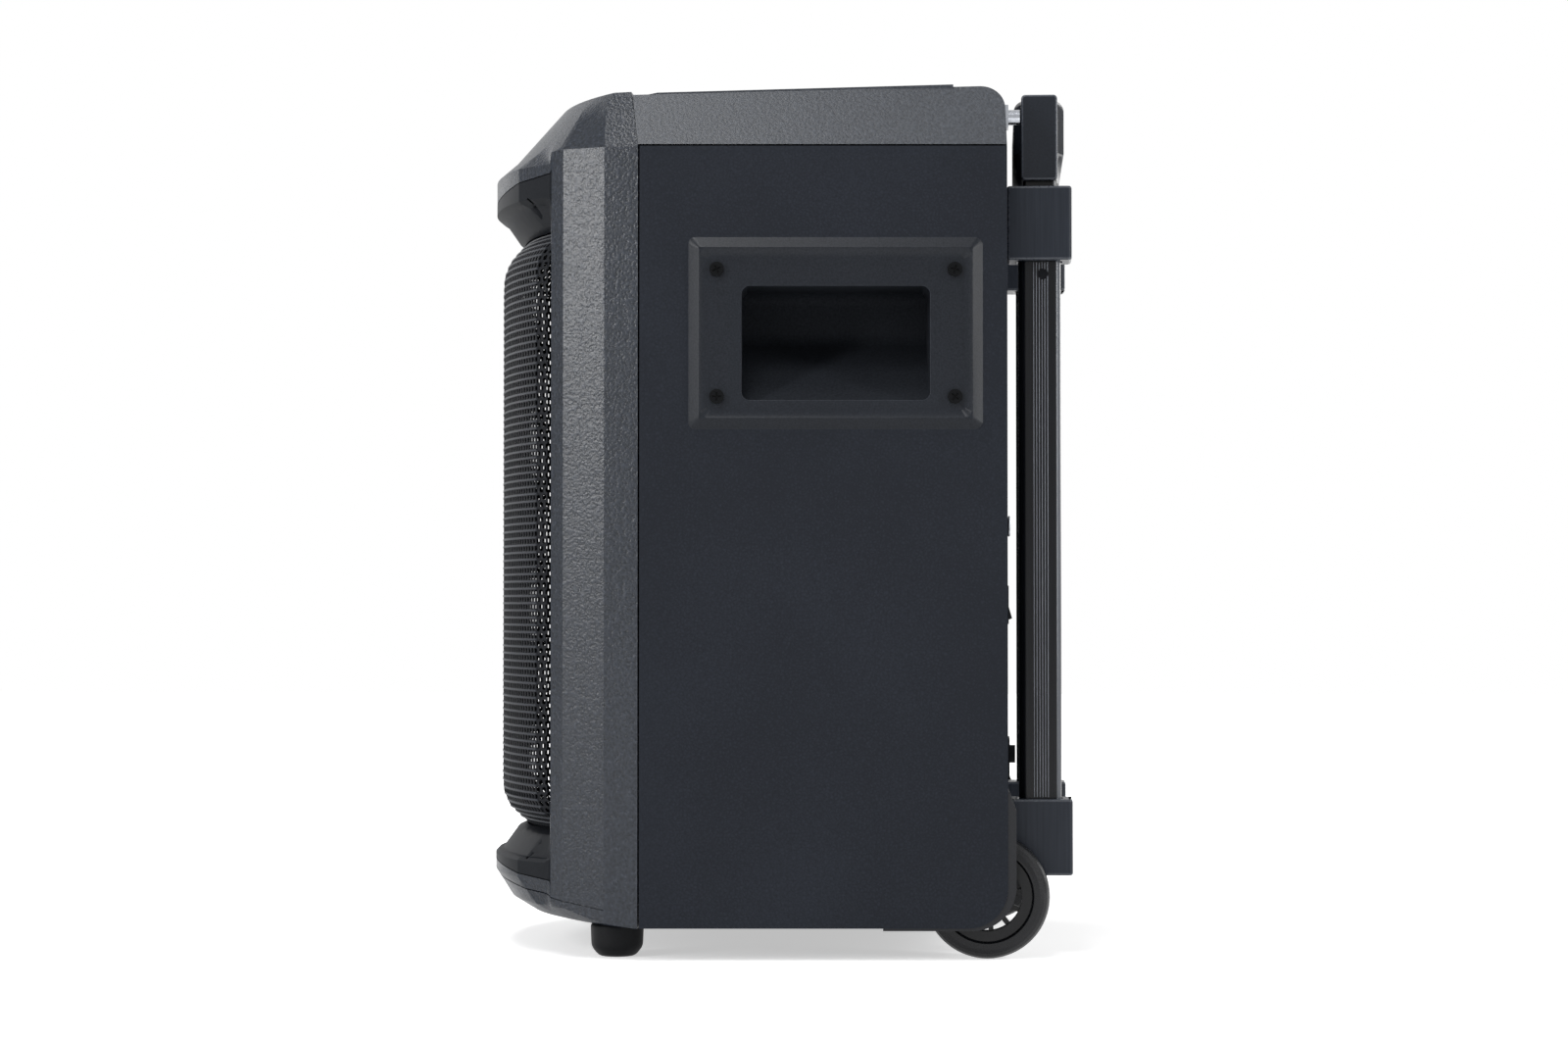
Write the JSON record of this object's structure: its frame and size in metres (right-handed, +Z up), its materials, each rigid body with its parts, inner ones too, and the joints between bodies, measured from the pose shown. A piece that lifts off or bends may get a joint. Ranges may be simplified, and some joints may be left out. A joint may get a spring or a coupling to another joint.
{
  "type": "portable party speaker",
  "caption": "Portable party speaker: tapered cabinet with curved grille, pocket handles, trolley wheels and a telescopic pull handle.",
  "frame": {"origin": "on the floor under the middle of the overall footprint", "axes": "+Z up, -Y out of the grille, +X across to the right-hand side seen from the front"},
  "size_m": [0.3336, 0.3674, 0.5378],
  "materials": {
    "vinyl_board": "satin",
    "raw_board": "matte",
    "grained_plastic": "matte",
    "smooth_plastic": "satin",
    "grille_steel": "satin",
    "panel_plastic": "matte",
    "display_glass": "gloss",
    "button_plastic": "satin",
    "knob_plastic": "satin",
    "circuit_board": "satin",
    "driver_steel": "satin",
    "magnet": "matte",
    "cone_paper": "matte",
    "surround_rubber": "matte",
    "coil_copper": "satin",
    "diffuser": "satin",
    "horn_plastic": "satin",
    "screw_steel": "satin",
    "jack_plastic": "satin",
    "bright_steel": "brushed",
    "antenna_chrome": "polished",
    "dark_aluminium": "anodised",
    "grip_plastic": "satin",
    "rim_plastic": "satin",
    "tyre_rubber": "satin",
    "foot_rubber": "matte",
    "battery_wrap": "satin",
    "supply_case": "matte"
  },
  "bodies": {
    "speaker": {"side_panel_right": "vinyl_board", "side_panel_left": "vinyl_board", "bottom_panel": "vinyl_board", "rear_panel": "vinyl_board", "baffle_board": "raw_board", "front_frame": "grained_plastic", "upper_bumper": "smooth_plastic", "lower_bumper": "smooth_plastic", "grille": "grille_steel", "top_cover": "grained_plastic", "control_panel": "panel_plastic", "display_window": "display_glass", "main_board": "circuit_board", "woofer_basket": "driver_steel", "woofer_magnet": "magnet", "woofer_cone": "cone_paper", "woofer_surround": "surround_rubber", "voice_coil": "coil_copper", "woofer_dust_cap": "cone_paper", "light_ring": "diffuser", "tweeter_horns": "horn_plastic", "tweeter_drivers": "driver_steel", "driver_screws": "screw_steel", "bass_port": "panel_plastic", "pocket_handle_right": "smooth_plastic", "pocket_handle_left": "smooth_plastic", "case_screws": "screw_steel", "jack_plate": "panel_plastic", "microphone_jacks": "jack_plastic", "aux_jack": "jack_plastic", "usb_socket": "bright_steel", "mains_inlet": "panel_plastic", "rocker_bezel": "panel_plastic", "antenna_socket": "antenna_chrome", "outer_tubes": "dark_aluminium", "lower_brackets": "smooth_plastic", "upper_brackets": "smooth_plastic", "wheel_housing_right": "smooth_plastic", "wheel_housing_left": "smooth_plastic", "wheel_axles": "bright_steel", "front_feet": "foot_rubber", "battery_pack": "battery_wrap", "power_supply": "supply_case"},
    "middle_section": {"middle_tubes": "dark_aluminium"},
    "handle": {"inner_tubes": "dark_aluminium", "grip": "grip_plastic"},
    "release": {"release_button": "button_plastic"},
    "wheel_right": {"rim_right": "rim_plastic", "tyre_right": "tyre_rubber"},
    "wheel_left": {"rim_left": "rim_plastic", "tyre_left": "tyre_rubber"},
    "rocker": {"rocker_switch": "button_plastic"},
    "power_key": {"power_button": "button_plastic"},
    "source_key": {"source_button": "button_plastic"},
    "play_key": {"play_button": "button_plastic"},
    "light_key": {"light_button": "button_plastic"},
    "bass_key": {"bass_button": "button_plastic"},
    "volume_dial": {"volume_knob": "knob_plastic"},
    "mic_dial": {"mic_knob": "knob_plastic"},
    "echo_dial": {"echo_knob": "knob_plastic"}
  },
  "joints": [
    {"name": "middle_section_slide", "type": "slide", "parent": "speaker", "child": "middle_section", "axis": [0, 0, 1], "range_m": [0, 0.23]},
    {"name": "handle_slide", "type": "slide", "parent": "middle_section", "child": "handle", "axis": [0, 0, 1], "range_m": [0, 0.23]},
    {"name": "release_press", "type": "slide", "parent": "handle", "child": "release", "axis": [0, 0, -1], "range_m": [0, 0.004], "stiffness_N_per_m": 1200, "springref_m": -0.001},
    {"name": "wheel_right_spin", "type": "hinge", "parent": "speaker", "child": "wheel_right", "pos_m": [0.13, 0.13135, 0.038], "axis": [1, 0, 0], "continuous": true},
    {"name": "wheel_left_spin", "type": "hinge", "parent": "speaker", "child": "wheel_left", "pos_m": [-0.13, 0.13135, 0.038], "axis": [1, 0, 0], "continuous": true},
    {"name": "rocker_flip", "type": "hinge", "parent": "speaker", "child": "rocker", "pos_m": [0, 0.14165, 0.2136], "axis": [1, 0, 0], "range_deg": [-16, 0]},
    {"name": "power_button_press", "type": "slide", "parent": "speaker", "child": "power_key", "axis": [0, 0.028, -0.9996], "range_m": [0, 0.0012], "stiffness_N_per_m": 500, "springref_m": -0.0005},
    {"name": "source_button_press", "type": "slide", "parent": "speaker", "child": "source_key", "axis": [0, 0.028, -0.9996], "range_m": [0, 0.0012], "stiffness_N_per_m": 500, "springref_m": -0.0005},
    {"name": "play_button_press", "type": "slide", "parent": "speaker", "child": "play_key", "axis": [0, 0.028, -0.9996], "range_m": [0, 0.0012], "stiffness_N_per_m": 500, "springref_m": -0.0005},
    {"name": "light_button_press", "type": "slide", "parent": "speaker", "child": "light_key", "axis": [0, 0.028, -0.9996], "range_m": [0, 0.0012], "stiffness_N_per_m": 500, "springref_m": -0.0005},
    {"name": "bass_button_press", "type": "slide", "parent": "speaker", "child": "bass_key", "axis": [0, 0.028, -0.9996], "range_m": [0, 0.0012], "stiffness_N_per_m": 500, "springref_m": -0.0005},
    {"name": "volume_knob_turn", "type": "hinge", "parent": "speaker", "child": "volume_dial", "pos_m": [0, 0.04854, 0.52902], "axis": [0, -0.028, 0.9996], "continuous": true},
    {"name": "mic_knob_turn", "type": "hinge", "parent": "speaker", "child": "mic_dial", "pos_m": [-0.062, 0.04854, 0.52902], "axis": [0, -0.028, 0.9996], "range_deg": [-150, 150]},
    {"name": "echo_knob_turn", "type": "hinge", "parent": "speaker", "child": "echo_dial", "pos_m": [0.062, 0.04854, 0.52902], "axis": [0, -0.028, 0.9996], "range_deg": [-150, 150]}
  ]
}
